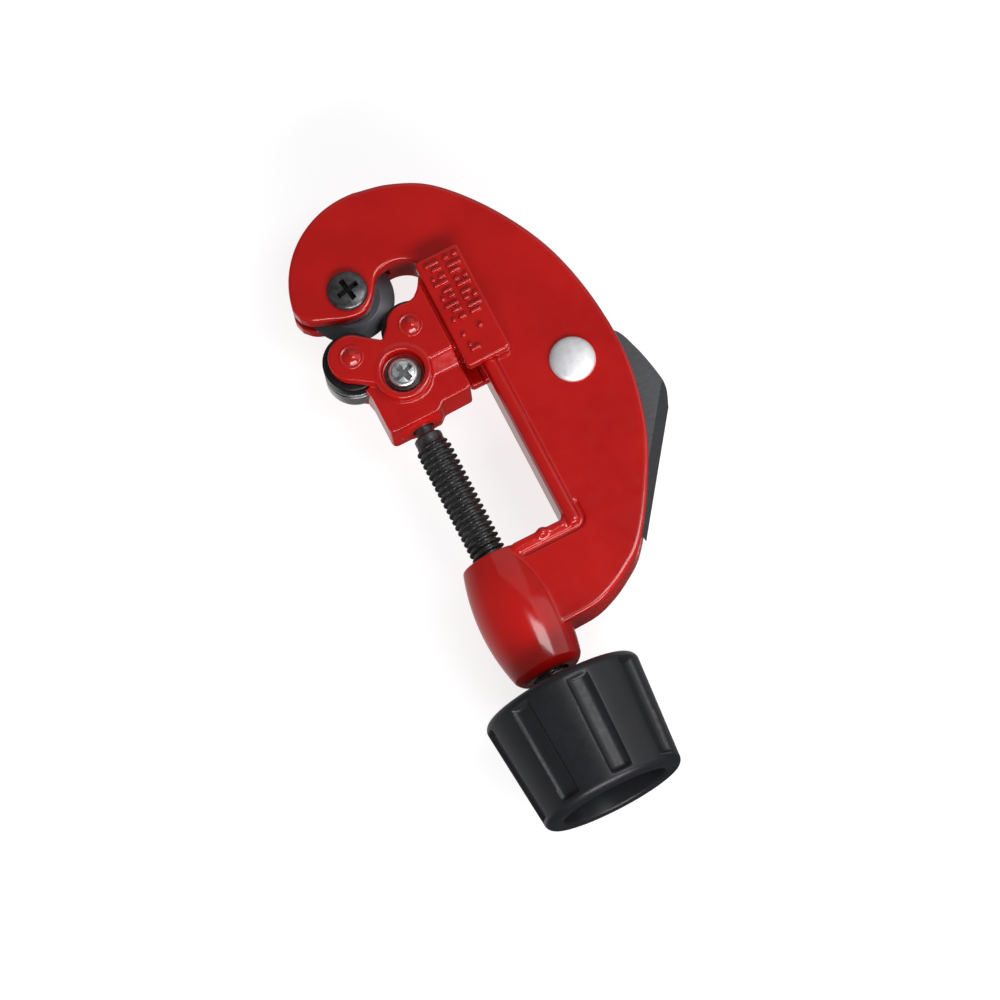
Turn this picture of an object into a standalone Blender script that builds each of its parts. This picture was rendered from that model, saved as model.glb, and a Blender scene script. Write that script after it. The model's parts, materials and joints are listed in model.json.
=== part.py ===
"""Screw-feed pipe cutter for copper tube up to 28 mm, modelled as its separate pieces.

The tool lies flat: X runs from the feed screw to the back of the frame, Y runs along the
feed screw towards the cutting wheel, and Z stands out of the front face. Dimensions are in
millimetres, measured from the feed screw's axis, and MM turns them into scene metres.
"""

import math

import bmesh
import bpy
from mathutils import Matrix, Vector

MM = 0.001
GAP = 0.3                       # clearance between pieces that touch
THROUGH = 12.0                  # half-length of a cutter that passes right through the tool

# Where the feed screw's axis lies: the box around the tool is centred on X and Y, and the
# knob, its widest piece, stands on the ground plane.
AXIS_PLACE = (-16.6, -3.0, 18.2)

# Frame casting
FRAME_HALF = 6.3                # half of the plate's thickness
JAW_CENTRE = (7.5, 54.4)
JAW_RADIUS = 21.6
RAIL_X = 17.4                   # inner edge of the back, where the slide runs
ARM_TOP = -11.5
CORNER_RADIUS = 1.6
BACK_CURVE = [(9.8, 75.9), (18.0, 74.0), (26.4, 69.4), (35.0, 59.4), (41.9, 46.6), (45.5, 33.0),
              (46.6, 18.0), (45.2, 7.0), (41.8, -4.0), (35.3, -16.0), (29.4, -24.0),
              (24.5, -27.7), (20.0, -30.1), (15.0, -31.7), (8.0, -32.1)]
JAW_CURVE = [(RAIL_X, 48.0), (16.9, 51.8), (14.2, 56.0), (10.2, 57.5), (6.2, 56.4), (3.2, 52.4),
             (0.4, 50.2), (-3.6, 50.3), (-8.0, 52.0), (-11.2, 53.3), (-13.3, 55.3)]
BEAD_X = (17.7, 20.8)           # guide bead on each face of the back
BEAD_Y = (-14.0, 52.6)
BEAD_HEIGHT = 1.1

# Barrel that holds the feed nut's thread, bulging like a cask
BARREL_TOP = -11.2
BARREL_LENGTH = 28.6
BARREL_RADIUS = 9.5
BARREL_WAIST = 15.0             # distance from its top to its widest point
BARREL_BULGE = 0.0111           # radius lost per square millimetre from there
BARREL_MOUTH = 5.6
SCREW_BORE = 4.15

# Cutting wheel, and the screw it turns on
WHEEL_CENTRE = (-1.2, 55.8)
WHEEL_RADIUS = 9.9
WHEEL_BEVEL_START = 6.8
WHEEL_HALF = 1.5
WHEEL_EDGE_HALF = 0.08
WHEEL_SLOT_HALF = 1.8
WHEEL_ROOM = 1.0                # space round the wheel inside its slot
SLOT_MOUTH = (-30.0, 40.0)      # lower left corner of the wheel slot's opening
AXLE_RADIUS = 2.0
AXLE_HEAD_RADIUS = 4.45
AXLE_HEAD_HEIGHT = 1.8
AXLE_TIP = 0.5                  # how far the tip stays below the rear face

# Folding reamer
RIVET_CENTRE = (35.4, 19.4)
RIVET_RADIUS = 3.0
RIVET_HEAD = 5.1
RIVET_REAR_HEAD = 4.2
RIVET_DOME = 1.7
BLADE_HALF = 1.0
BLADE_HEEL = 6.4
BLADE_CURVE = [(41.0, 24.6), (47.0, 22.8), (49.6, 17.0), (51.2, 9.6), (51.3, 5.8), (49.8, 1.8)]
BLADE_TIP = (31.6, -22.9)
REAMER_SLOT_HALF = 1.8
REAMER_SLOT = [(28.2, -40.0), (28.2, 30.0), (31.0, 34.5), (38.0, 37.0), (60.0, 44.0), (60.0, -40.0)]
WASHER_THICKNESS = 0.5
WASHER_RADIUS = 5.6

# Slide that carries the two rollers
CHEEK_IN = 6.1
CHEEK_OUT = 9.2
CHEEK_ROOT = 1.0                # depth the cheeks run into the web
CHEEK_TOP = 52.0
PIN_LEFT = (-7.4, 41.2)
PIN_RIGHT = (7.3, 41.9)
LOBE_LEFT = 5.2
LOBE_RIGHT = 5.3
NOTCH = (0.3, 41.8)
BOSS_CENTRE = (1.2, 33.3)
BOSS_RADIUS = 6.3
BOSS_OUT = 9.8
RECESS_RADIUS = 4.8
RECESS_FLOOR = 6.4
STEP_Y = 33.0
EAR_X = (14.1, 24.6)
EAR_Y = (27.3, 53.9)
EAR_OUT = 9.8
EAR_ROUND = 0.8
LINK_X = 13.9
LINK_Y = (33.4, 48.0)
BLOCK_LEFT = -7.2
BLOCK_RIGHT = 13.2
BLOCK_BOTTOM = 22.6
WEB_TOP = 38.4
COLLAR_RADIUS = 5.4
COLLAR_BOTTOM = 21.9
FEED_BORE = 2.4
FEED_BORE_END = 35.9
PIN_RADIUS = 1.6
PIN_DOME_RADIUS = 2.1
DIMPLE_RADIUS = 3.1
DIMPLE_DEPTH = 0.8
BEAD_GROOVE_Y = (10.0, 60.0)    # the groove runs out of both ends of the ears

# Rollers
ROLLER_RADIUS = 6.6
ROLLER_HALF = 5.8
ROLLER_BORE = 1.9
ROLLER_LIP = 0.4                # chamfer at each end
POCKET_RADIUS = 7.0
GROOVE_HALF = 0.7               # the wheel's edge sinks into this groove when closed
GROOVE_RADIUS = 5.4

# Feed screw
THREAD_RADIUS = 3.95
SHOULDER_RADIUS = 3.35
NECK_RADIUS = 2.1
TAIL_END = 34.9
RETAIN_GROOVE = (32.4, 34.2)
RETAIN_GROOVE_RADIUS = 1.2
SHOULDER_TOP = 21.6
THREAD_TOP = 20.2
THREAD_END = -42.6
DRIVE_RADIUS = 3.0
TAPPED_DEPTH = 8.0              # hole in the driven end for the knob's screw
TAPPED_RADIUS = 1.9

# Retaining screw and the thrust disc in the slide
RETAIN_HEAD = 2.6
RETAIN_SHANK = 1.1
RETAIN_DOG = 0.6
THRUST_RADIUS = 2.1
DISC_THICKNESS = 0.6

# Knob
KNOB_TOP = -43.5
KNOB_END = -70.0
KNOB_TOP_RADIUS = 18.2
KNOB_END_RADIUS = 16.3
KNOB_ROUND = 1.8
KNOB_FLOOR = -54.5
HOLLOW_RADIUS = 12.2
FLUTE_COUNT = 8
FLUTE_FIRST = 12.5              # degrees from the front
FLUTE_WIDTH = 5.4
FLUTE_DEPTH = 1.3
FLUTE_Y = (-68.0, -45.6)
FLUTE_CUTTER = 10.0             # height of the block that cuts a flute


def clear_scene():
    for old in list(bpy.data.objects):
        bpy.data.objects.remove(old, do_unlink=True)


def new_collection(name):
    group = bpy.data.collections.new(name)
    bpy.context.scene.collection.children.link(group)
    return group


def new_material(name, colour, roughness, metallic):
    material = bpy.data.materials.new(name)
    material.use_nodes = True
    shader = material.node_tree.nodes["Principled BSDF"]
    shader.inputs["Base Color"].default_value = (*colour, 1.0)
    shader.inputs["Roughness"].default_value = roughness
    shader.inputs["Metallic"].default_value = metallic
    return material


def arc(centre, radius, start, end, count):
    """Points on a circle from one angle to another, in degrees, ends included."""
    angles = [math.radians(start + (end - start) * i / count) for i in range(count + 1)]
    return [(centre[0] + radius * math.cos(a), centre[1] + radius * math.sin(a)) for a in angles]


def smooth(points, per_span=4):
    """A smooth curve through all the points, ends included."""
    ends = [2 * Vector(points[0]) - Vector(points[1]), 2 * Vector(points[-1]) - Vector(points[-2])]
    line = [ends[0], *[Vector(p) for p in points], ends[1]]
    curve = []
    for before, start, end, after in zip(line, line[1:], line[2:], line[3:]):
        for i in range(per_span):
            t = i / per_span
            point = 2 * start + (end - before) * t
            point += (2 * before - 5 * start + 4 * end - after) * t ** 2
            point += (3 * start - 3 * end + after - before) * t ** 3
            curve.append(tuple(point / 2))
    return [*curve, tuple(points[-1])]


def rounded_box(x_range, y_range, radius, count=3):
    """A rectangle's outline with rounded corners."""
    (left, right), (low, high) = x_range, y_range
    corners = [(right - radius, high - radius), (left + radius, high - radius),
               (left + radius, low + radius), (right - radius, low + radius)]
    outline = []
    for i, corner in enumerate(corners):
        outline += arc(corner, radius, 90 * i, 90 * i + 90, count)
    return outline


def mesh_object(name, mesh, group, origin=(0, 0, 0)):
    """A mesh drawn in tool coordinates, with its object's origin at the given place."""
    place = Vector(origin) * MM
    mesh.transform(Matrix.Translation(-place))
    item = bpy.data.objects.new(name, mesh)
    item.location = place
    item.parent = tool
    group.objects.link(item)
    return item


def plate(name, outline, low, high, group, origin=(0, 0, 0)):
    """A flat piece between two heights: a filled outline, extruded and made a mesh."""
    curve = bpy.data.curves.new(name, "CURVE")
    curve.dimensions = "2D"
    curve.fill_mode = "BOTH"
    curve.extrude = (high - low) / 2 * MM
    spline = curve.splines.new("POLY")
    spline.points.add(len(outline) - 1)
    for point, (x, y) in zip(spline.points, outline):
        point.co = (x * MM, y * MM, 0, 1)
    spline.use_cyclic_u = True
    drawing = bpy.data.objects.new(name, curve)
    bpy.context.scene.collection.objects.link(drawing)
    evaluated = drawing.evaluated_get(bpy.context.evaluated_depsgraph_get())
    mesh = bpy.data.meshes.new_from_object(evaluated)
    bpy.data.objects.remove(drawing)
    bpy.data.curves.remove(curve)
    mesh.transform(Matrix.Translation((0, 0, (low + high) / 2 * MM)))
    sheet = bmesh.new()
    sheet.from_mesh(mesh)
    bmesh.ops.remove_doubles(sheet, verts=sheet.verts, dist=0.00001)
    sheet.to_mesh(mesh)
    sheet.free()
    mesh.name = name
    return mesh_object(name, mesh, group, origin)


def turned(name, profile, group, origin=(0, 0, 0), along_y=False, ring=False, steps=32):
    """A turned piece. The profile's (radius, height) pairs run down the outer side."""
    count = len(profile)
    edges = [(i, i + 1) for i in range(count - 1)]
    if ring:
        edges.append((count - 1, 0))
    mesh = bpy.data.meshes.new(name)
    mesh.from_pydata([(r * MM, 0, h * MM) for r, h in profile], edges, [])
    item = bpy.data.objects.new(name, mesh)
    item.location = Vector(origin) * MM
    item.parent = tool
    if along_y:
        item.rotation_euler = (math.radians(-90), 0, 0)
    group.objects.link(item)
    screw = item.modifiers.new("Turn", "SCREW")
    screw.axis = "Z"
    screw.steps = steps
    screw.render_steps = steps
    screw.use_merge_vertices = True
    screw.merge_threshold = 0.00001
    screw.use_smooth_shade = True
    return item


def cylinder(name, radius, low, high, group, origin, along_y=False, steps=24):
    return turned(name, [(0, high), (radius, high), (radius, low), (0, low)], group, origin,
                  along_y, steps=steps)


def boolean(target, other, operation):
    modifier = target.modifiers.new(other.name, "BOOLEAN")
    modifier.operation = operation
    modifier.solver = "EXACT"
    modifier.object = other


def join(target, *others):
    for other in others:
        boolean(target, other, "UNION")


def cut(target, *others):
    for other in others:
        boolean(target, other, "DIFFERENCE")


def at(place, height=0.0):
    return (place[0], place[1], height)


def frame_outline():
    jaw_top = arc(JAW_CENTRE, JAW_RADIUS, 172, 87, 12)
    back = smooth(BACK_CURVE, 3)
    corner = arc((RAIL_X - CORNER_RADIUS, ARM_TOP + CORNER_RADIUS), CORNER_RADIUS, 270, 360, 3)
    jaw_bottom = smooth(JAW_CURVE, 3)
    return [*jaw_top, *back, (0, BACK_CURVE[-1][1]), (0, ARM_TOP), *corner, *jaw_bottom]


def barrel_profile():
    below_top = [0.0, 2.5, 5.0, 8.0, 11.0, BARREL_WAIST, 19.0, 22.0, 25.0, 27.0]
    side = []
    for distance in below_top:
        radius = BARREL_RADIUS - BARREL_BULGE * (distance - BARREL_WAIST) ** 2
        side.append((radius, BARREL_TOP - distance))
    bottom = BARREL_TOP - BARREL_LENGTH
    return [(0, BARREL_TOP), *side, (BARREL_MOUTH, bottom), (0, bottom)]


def make_frame():
    casting = plate("frame_casting", frame_outline(), -FRAME_HALF, FRAME_HALF, parts)
    barrel = turned("frame_barrel", barrel_profile(), cutters, along_y=True, steps=36)
    bead_radius = (BEAD_X[1] - BEAD_X[0]) / 2
    bead = rounded_box(BEAD_X, BEAD_Y, bead_radius - 0.01)
    reach = FRAME_HALF + BEAD_HEIGHT
    beads = plate("frame_beads", bead, -reach, reach, cutters)
    bore = cylinder("frame_bore", SCREW_BORE, -BARREL_LENGTH - 2 * THROUGH, 0, cutters, (0, 0, 0),
                    along_y=True)
    slot_arc = arc(WHEEL_CENTRE, WHEEL_RADIUS + WHEEL_ROOM, 155, 0, 14)
    left, low = SLOT_MOUTH
    slot = [(left, slot_arc[0][1]), *slot_arc, (slot_arc[-1][0], low), (left, low)]
    wheel_slot = plate("frame_wheel_slot", slot, -WHEEL_SLOT_HALF, WHEEL_SLOT_HALF, cutters)
    axle_hole = cylinder("frame_axle_hole", AXLE_RADIUS + GAP, -THROUGH, THROUGH, cutters,
                         at(WHEEL_CENTRE))
    reamer_slot = plate("frame_reamer_slot", REAMER_SLOT, -REAMER_SLOT_HALF, REAMER_SLOT_HALF,
                        cutters)
    rivet_hole = cylinder("frame_rivet_hole", RIVET_RADIUS + GAP, -THROUGH, THROUGH, cutters,
                          at(RIVET_CENTRE))
    join(casting, barrel, beads)
    cut(casting, bore, wheel_slot, axle_hole, reamer_slot, rivet_hole)
    return casting


def make_wheel():
    bore = AXLE_RADIUS + GAP
    profile = [(WHEEL_BEVEL_START, WHEEL_HALF), (WHEEL_RADIUS, WHEEL_EDGE_HALF),
               (WHEEL_RADIUS, -WHEEL_EDGE_HALF), (WHEEL_BEVEL_START, -WHEEL_HALF),
               (bore, -WHEEL_HALF), (bore, WHEEL_HALF)]
    return turned("cutting_wheel", profile, parts, at(WHEEL_CENTRE), ring=True, steps=48)


def make_axle_screw():
    seat = FRAME_HALF + GAP / 2
    profile = [(0, seat + AXLE_HEAD_HEIGHT), (2.6, seat + AXLE_HEAD_HEIGHT - 0.15),
               (4.0, seat + 1.0), (AXLE_HEAD_RADIUS, seat + 0.3), (AXLE_HEAD_RADIUS, seat),
               (AXLE_RADIUS, seat), (AXLE_RADIUS, AXLE_TIP - FRAME_HALF),
               (0, AXLE_TIP - FRAME_HALF)]
    return turned("wheel_axle_screw", profile, parts, at(WHEEL_CENTRE), steps=24)


def make_reamer():
    heel = arc(RIVET_CENTRE, BLADE_HEEL, 70, 195, 10)
    outline = [*smooth(BLADE_CURVE, 3)[::-1], *heel, BLADE_TIP]
    blade = plate("reamer_blade", outline, -BLADE_HALF, BLADE_HALF, parts, at(RIVET_CENTRE))
    hole = cylinder("blade_hole", RIVET_RADIUS + GAP, -THROUGH, THROUGH, cutters, at(RIVET_CENTRE))
    cut(blade, hole)
    return blade


def make_rivet():
    seat = FRAME_HALF + GAP / 2
    dome = [(RIVET_HEAD * math.sin(a), seat + RIVET_DOME * math.cos(a) ** 0.8)
            for a in (math.radians(d) for d in (0, 18, 36, 54, 72))]
    profile = [*dome, (RIVET_HEAD, seat + 0.25), (RIVET_HEAD, seat), (RIVET_RADIUS, seat),
               (RIVET_RADIUS, -seat), (RIVET_REAR_HEAD, -seat), (RIVET_REAR_HEAD, -seat - 0.5),
               (2.6, -seat - 1.3), (0, -seat - 1.5)]
    return turned("reamer_rivet", profile, parts, at(RIVET_CENTRE), steps=24)


def make_reamer_washer(name, side):
    """Thin ring between the blade and one wall of its slot."""
    inner = BLADE_HALF + GAP / 2
    heights = sorted((side * inner, side * (inner + WASHER_THICKNESS)))
    bore = RIVET_RADIUS + GAP
    profile = [(WASHER_RADIUS, heights[1]), (WASHER_RADIUS, heights[0]), (bore, heights[0]),
               (bore, heights[1])]
    return turned(name, profile, parts, at(RIVET_CENTRE), ring=True, steps=24)


def cheek_outline():
    """One cheek: a lobe round each roller pin, a boss below, and the edge beside the rail."""
    left_lobe = arc(PIN_LEFT, LOBE_LEFT, 45, 238, 14)
    boss = arc(BOSS_CENTRE, BOSS_RADIUS - 0.2, 180, 357, 14)
    right_edge = [(EAR_X[0] + 0.4, STEP_Y), (EAR_X[0] + 0.4, CHEEK_TOP)]
    sweep = smooth([(13.6, 51.0), (12.4, 48.9), (10.7, 47.3)], 3)
    right_lobe = arc(PIN_RIGHT, LOBE_RIGHT, 72, 158, 6)
    return [NOTCH, *left_lobe, *boss, *right_edge, *sweep, *right_lobe]


def web_outline():
    """The middle of the slide: block below the rollers, with a bar beside the rail."""
    link_right = RAIL_X - GAP
    return [(BLOCK_LEFT, BLOCK_BOTTOM + 0.8), (BLOCK_LEFT + 0.8, BLOCK_BOTTOM),
            (4.6, BLOCK_BOTTOM), (6.2, 24.0), (BLOCK_RIGHT, 24.2), (BLOCK_RIGHT, LINK_Y[0]),
            (link_right, LINK_Y[0]), (link_right, LINK_Y[1]), (LINK_X, LINK_Y[1]), (LINK_X, WEB_TOP),
            (-6.0, WEB_TOP), (-8.0, 35.4), (BLOCK_LEFT, 32.0)]


def make_slide():
    casting = plate("slide_casting", web_outline(), -CHEEK_IN, CHEEK_IN, parts)
    sides = []
    for side, label in ((1, "front"), (-1, "rear")):
        heights = sorted((side * (CHEEK_IN - CHEEK_ROOT), side * CHEEK_OUT))
        sides.append(plate("slide_cheek_" + label, cheek_outline(), *heights, cutters))
        heights = sorted((side * (FRAME_HALF + GAP), side * EAR_OUT))
        ear = rounded_box(EAR_X, EAR_Y, EAR_ROUND, 2)
        sides.append(plate("slide_ear_" + label, ear, *heights, cutters))
        heights = sorted((side * 5.0, side * (FRAME_HALF + GAP + 0.5)))
        link = rounded_box((LINK_X + 0.6, RAIL_X - GAP - 0.1), (LINK_Y[0] + 0.2, LINK_Y[1] - 0.2),
                           0.2, 1)
        sides.append(plate("slide_link_" + label, link, *heights, cutters))
    boss = cylinder("slide_boss", BOSS_RADIUS, 5.0, BOSS_OUT, cutters, at(BOSS_CENTRE), steps=32)
    collar = cylinder("slide_collar", COLLAR_RADIUS, COLLAR_BOTTOM, 24.5, cutters, (0, 0, 0), True)
    join(casting, *sides, boss, collar)
    feed_bore = cylinder("slide_feed_bore", FEED_BORE, COLLAR_BOTTOM - THROUGH, FEED_BORE_END,
                         cutters, (0, 0, 0), True)
    cut(casting, feed_bore)
    seat = CHEEK_OUT - DIMPLE_DEPTH
    pin_hole = [(0, THROUGH), (DIMPLE_RADIUS, THROUGH), (DIMPLE_RADIUS, seat), (PIN_RADIUS + GAP / 2, seat),
                (PIN_RADIUS + GAP / 2, CHEEK_IN), (POCKET_RADIUS, CHEEK_IN)]
    pin_hole += [(r, -h) for r, h in reversed(pin_hole)]
    for label, place in (("left", PIN_LEFT), ("right", PIN_RIGHT)):
        cut(casting, turned("slide_pocket_" + label, pin_hole, cutters, at(place), steps=28))
    screw_hole = [(0, THROUGH), (RECESS_RADIUS, THROUGH), (RECESS_RADIUS, RECESS_FLOOR),
                  (RETAIN_SHANK + 0.2, RECESS_FLOOR), (RETAIN_SHANK + 0.2, 0), (0, 0)]
    recess = turned("slide_recess", screw_hole, cutters, at(BOSS_CENTRE), steps=24)
    reach = FRAME_HALF + BEAD_HEIGHT + GAP
    groove_outline = rounded_box((BEAD_X[0] - GAP, BEAD_X[1] + GAP), BEAD_GROOVE_Y, 0.5, 1)
    groove = plate("slide_bead_groove", groove_outline, -reach, reach, cutters)
    cut(casting, recess, groove)
    return casting


def make_roller(name, place):
    lip = ROLLER_LIP
    profile = [(ROLLER_RADIUS - lip, ROLLER_HALF), (ROLLER_RADIUS, ROLLER_HALF - lip),
               (ROLLER_RADIUS, GROOVE_HALF), (GROOVE_RADIUS, GROOVE_HALF),
               (GROOVE_RADIUS, -GROOVE_HALF), (ROLLER_RADIUS, -GROOVE_HALF),
               (ROLLER_RADIUS, lip - ROLLER_HALF), (ROLLER_RADIUS - lip, -ROLLER_HALF),
               (ROLLER_BORE, -ROLLER_HALF), (ROLLER_BORE, ROLLER_HALF)]
    return turned(name, profile, parts, at(place), ring=True, steps=36)


def make_roller_pin(name, place):
    """Plain pin, with a low domed head formed in the dimple of each cheek."""
    seat = CHEEK_OUT - DIMPLE_DEPTH + GAP / 2
    front = [(0, seat + 0.9), (1.2, seat + 0.75), (PIN_DOME_RADIUS, seat + 0.2),
             (PIN_DOME_RADIUS, seat), (PIN_RADIUS, seat)]
    rear = [(r, -h) for r, h in reversed(front)]
    return turned(name, [*front, *rear], parts, at(place), steps=20)


def make_feed_screw():
    """Tail in the slide, neck, shoulder, thread, and the end that drives into the knob."""
    groove_low, groove_high = RETAIN_GROOVE
    end = KNOB_FLOOR + 1.0
    profile = [(0, TAIL_END), (1.7, TAIL_END), (NECK_RADIUS, TAIL_END - 0.3),
               (NECK_RADIUS, groove_high), (RETAIN_GROOVE_RADIUS, groove_high),
               (RETAIN_GROOVE_RADIUS, groove_low), (NECK_RADIUS, groove_low),
               (NECK_RADIUS, SHOULDER_TOP + 0.2), (2.9, SHOULDER_TOP),
               (SHOULDER_RADIUS, SHOULDER_TOP - 0.4), (SHOULDER_RADIUS, THREAD_TOP + 0.5),
               (THREAD_RADIUS, THREAD_TOP), (THREAD_RADIUS, THREAD_END),
               (DRIVE_RADIUS, THREAD_END - 0.6), (DRIVE_RADIUS, end),
               (TAPPED_RADIUS, end), (TAPPED_RADIUS, end + TAPPED_DEPTH), (0, end + TAPPED_DEPTH)]
    return turned("feed_screw", profile, parts, along_y=True, steps=24)


def make_thrust_disc():
    low = TAIL_END + 0.2
    high = low + DISC_THICKNESS
    return cylinder("thrust_disc", THRUST_RADIUS, low, high, parts, (0, 0, 0), True, steps=20)


def make_retaining_screw():
    """Pan-head screw in the boss, with a dog point standing in the tail's groove."""
    seat = RECESS_FLOOR + 0.9
    profile = [(0, seat + 1.3), (1.8, seat + 1.15), (RETAIN_HEAD, seat + 0.5), (RETAIN_HEAD, seat),
               (RETAIN_SHANK, seat), (RETAIN_SHANK, 2.8), (RETAIN_DOG, 2.6), (RETAIN_DOG, 1.5),
               (0, 1.5)]
    return turned("retaining_screw", profile, parts, at(BOSS_CENTRE), steps=20)


def make_retaining_washer():
    low = RECESS_FLOOR + 0.15
    high = low + DISC_THICKNESS
    profile = [(3.7, high), (3.7, low), (1.4, low), (1.4, high)]
    return turned("retaining_washer", profile, parts, at(BOSS_CENTRE), ring=True, steps=24)


def knob_profile():
    top = arc((KNOB_TOP_RADIUS - KNOB_ROUND, KNOB_TOP - KNOB_ROUND), KNOB_ROUND, 90, 0, 3)
    end = arc((KNOB_END_RADIUS - KNOB_ROUND, KNOB_END + KNOB_ROUND), KNOB_ROUND, 0, -90, 3)
    mouth = [(HOLLOW_RADIUS + 0.8, KNOB_END), (HOLLOW_RADIUS, KNOB_END + 0.8)]
    floor = [(HOLLOW_RADIUS - 0.6, KNOB_FLOOR), (DRIVE_RADIUS + GAP, KNOB_FLOOR)]
    hub = [(DRIVE_RADIUS + GAP, KNOB_TOP - 0.6), (THREAD_RADIUS + GAP, KNOB_TOP)]
    return [*top, *end, *mouth, *floor, *hub]


def make_knob():
    knob = turned("knob", knob_profile(), parts, along_y=True, ring=True, steps=48)
    slope = math.atan2(KNOB_TOP_RADIUS - KNOB_END_RADIUS, KNOB_TOP - KNOB_END)
    middle = sum(FLUTE_Y) / 2
    share = (middle - KNOB_END) / (KNOB_TOP - KNOB_END)
    radius = KNOB_END_RADIUS + (KNOB_TOP_RADIUS - KNOB_END_RADIUS) * share
    size = Matrix.Diagonal((FLUTE_WIDTH, FLUTE_Y[1] - FLUTE_Y[0], FLUTE_CUTTER, 1.0))
    grooves = bmesh.new()
    scale = Matrix.Scale(MM, 4)
    for i in range(FLUTE_COUNT):
        turn = Matrix.Rotation(math.radians(FLUTE_FIRST + 360 / FLUTE_COUNT * i), 4, "Y")
        place = Matrix.Translation((0, middle, radius - FLUTE_DEPTH + FLUTE_CUTTER / 2))
        lean = Matrix.Rotation(slope, 4, "X")
        bmesh.ops.create_cube(grooves, size=1.0, matrix=scale @ turn @ place @ lean @ size)
    mesh = bpy.data.meshes.new("knob_flutes")
    grooves.to_mesh(mesh)
    grooves.free()
    cut(knob, mesh_object("knob_flutes", mesh, cutters))
    return knob


def make_knob_washer():
    high = KNOB_FLOOR - 0.2
    low = high - 0.9
    profile = [(5.4, high), (5.4, low), (1.9, low), (1.9, high)]
    return turned("knob_washer", profile, parts, along_y=True, ring=True, steps=24)


def make_knob_screw():
    seat = KNOB_FLOOR - 1.3
    profile = [(0, KNOB_FLOOR + 7.0), (1.6, KNOB_FLOOR + 7.0), (1.6, seat), (3.6, seat),
               (3.6, seat - 1.2), (2.6, seat - 2.2), (0, seat - 2.4)]
    return turned("knob_screw", profile, parts, along_y=True, steps=20)


def finish_cutters():
    for item in cutters.objects:
        item.hide_render = True
        item.display_type = "WIRE"


clear_scene()
parts = new_collection("pipe_cutter")
cutters = new_collection("cutters")
tool = bpy.data.objects.new("tool", None)
tool.location = Vector(AXIS_PLACE) * MM
parts.objects.link(tool)

red_paint = new_material("red_paint", (0.50, 0.008, 0.006), 0.25, 0.0)
tool_steel = new_material("tool_steel", (0.19, 0.19, 0.20), 0.32, 1.0)
bright_steel = new_material("bright_steel", (0.55, 0.54, 0.54), 0.3, 1.0)
black_oxide = new_material("black_oxide", (0.03, 0.03, 0.035), 0.4, 0.8)
zinc_plate = new_material("zinc_plate", (0.75, 0.76, 0.78), 0.25, 1.0)
aluminium = new_material("aluminium", (0.72, 0.72, 0.73), 0.35, 1.0)
blade_steel = new_material("blade_steel", (0.08, 0.085, 0.09), 0.45, 0.8)
black_plastic = new_material("black_plastic", (0.035, 0.037, 0.04), 0.45, 0.0)

FINISHES = [
    (red_paint, [make_frame(), make_slide(), make_roller_pin("roller_pin_left", PIN_LEFT),
                 make_roller_pin("roller_pin_right", PIN_RIGHT)]),
    (tool_steel, [make_wheel()]),
    (bright_steel, [make_roller("roller_left", PIN_LEFT), make_roller("roller_right", PIN_RIGHT),
                    make_reamer_washer("reamer_washer_front", 1),
                    make_reamer_washer("reamer_washer_rear", -1), make_thrust_disc()]),
    (black_oxide, [make_feed_screw(), make_axle_screw(), make_retaining_washer()]),
    (zinc_plate, [make_retaining_screw(), make_knob_screw(), make_knob_washer()]),
    (aluminium, [make_rivet()]),
    (blade_steel, [make_reamer()]),
    (black_plastic, [make_knob()]),
]
for finish, pieces in FINISHES:
    for piece in pieces:
        piece.data.materials.append(finish)
finish_cutters()
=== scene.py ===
"""The finished look of the pipe cutter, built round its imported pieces.

Drawing units are millimetres in the tool's own axes, measured from the feed_turn joint's place
on the feed screw's axis: x towards the back of the frame, y along the screw towards the wheel,
z out of the front. A front side has z above 0 and a rear side has z below 0.
"""

import json
import math

import bmesh
import bpy
from mathutils import Matrix, Vector


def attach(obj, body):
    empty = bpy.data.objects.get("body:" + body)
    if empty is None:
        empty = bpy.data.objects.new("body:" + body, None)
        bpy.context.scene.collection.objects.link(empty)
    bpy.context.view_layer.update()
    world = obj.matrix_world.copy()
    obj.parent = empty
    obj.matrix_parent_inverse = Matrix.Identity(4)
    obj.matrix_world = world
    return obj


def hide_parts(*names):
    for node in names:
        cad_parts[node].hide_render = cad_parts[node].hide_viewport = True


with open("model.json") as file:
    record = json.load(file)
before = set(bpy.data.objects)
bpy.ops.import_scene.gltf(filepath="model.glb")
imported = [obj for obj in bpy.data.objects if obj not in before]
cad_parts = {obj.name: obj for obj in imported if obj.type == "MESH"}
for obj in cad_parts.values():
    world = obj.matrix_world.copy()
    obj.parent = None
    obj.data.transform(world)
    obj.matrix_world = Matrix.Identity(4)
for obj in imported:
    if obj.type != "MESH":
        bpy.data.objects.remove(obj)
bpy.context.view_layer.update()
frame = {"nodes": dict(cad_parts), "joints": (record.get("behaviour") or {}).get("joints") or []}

MM = 0.001
THROUGH = 12.0                  # half height of a cutter that passes right through the tool
joint_place = {joint["name"]: joint.get("pos_m") for joint in frame["joints"]}
ORIGIN = Vector(joint_place["feed_turn"])


def in_tool(point):
    """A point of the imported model, in metres, as tool millimetres."""
    return tuple((Vector(point) - ORIGIN) / MM)


WHEEL = in_tool(joint_place["wheel_spin"])
PIN_LEFT = in_tool(joint_place["roller_left_spin"])
PIN_RIGHT = in_tool(joint_place["roller_right_spin"])
RIVET = in_tool(joint_place["reamer_swing"])

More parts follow.
